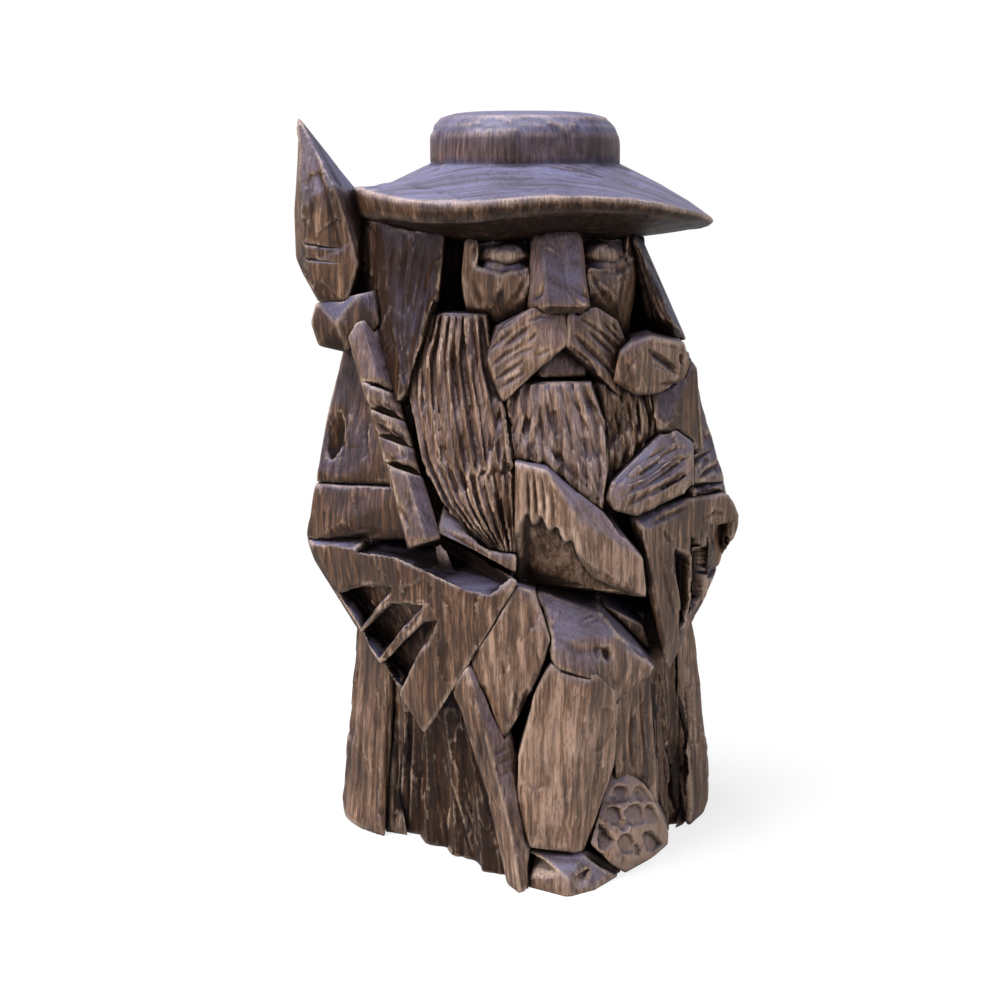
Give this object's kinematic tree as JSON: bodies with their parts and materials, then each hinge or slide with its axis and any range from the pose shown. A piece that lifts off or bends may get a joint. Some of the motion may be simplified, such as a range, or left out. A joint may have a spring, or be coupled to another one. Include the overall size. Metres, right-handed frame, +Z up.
{
  "type": "carved wooden figure of a seated wanderer",
  "caption": "Carved wooden figure of a seated bearded wanderer with a broad hat, a spear, a bird at the shoulder and a folded cloak, standing on a flat base.",
  "frame": {"origin": "centre of the box around the figure, on the flat base", "axes": "+Z up along the figure's height, +Y to the figure's back, +X to the figure's left; the body faces -Y"},
  "size_m": [0.0599, 0.05, 0.1],
  "materials": {
    "stained_wood": "dark stained, satin, hand carved"
  },
  "bodies": {
    "root": {"spear_blade": "stained_wood", "spear_socket": "stained_wood", "spear_shaft": "stained_wood", "hat": "stained_wood", "nose": "stained_wood", "moustache_right": "stained_wood", "moustache_left": "stained_wood", "lip": "stained_wood", "beard_tip": "stained_wood", "bird_head": "stained_wood", "left_hand": "stained_wood", "chin_beard": "stained_wood", "beard_right": "stained_wood", "right_forearm": "stained_wood", "right_hand": "stained_wood", "left_forearm": "stained_wood", "beard_left": "stained_wood", "bird_neck": "stained_wood", "face": "stained_wood", "hair_right": "stained_wood", "hair_left": "stained_wood", "sash": "stained_wood", "left_knee": "stained_wood", "right_trouser": "stained_wood", "lap": "stained_wood", "right_shoe": "stained_wood", "left_shoe": "stained_wood", "coat_edge": "stained_wood", "coat_skirt": "stained_wood", "left_trouser": "stained_wood", "skirt_left": "stained_wood", "cloak_right": "stained_wood", "cloak_left": "stained_wood", "right_elbow": "stained_wood", "right_upper_arm": "stained_wood", "left_upper_arm": "stained_wood", "hair_back": "stained_wood", "cloak": "stained_wood"}
  },
  "joints": []
}
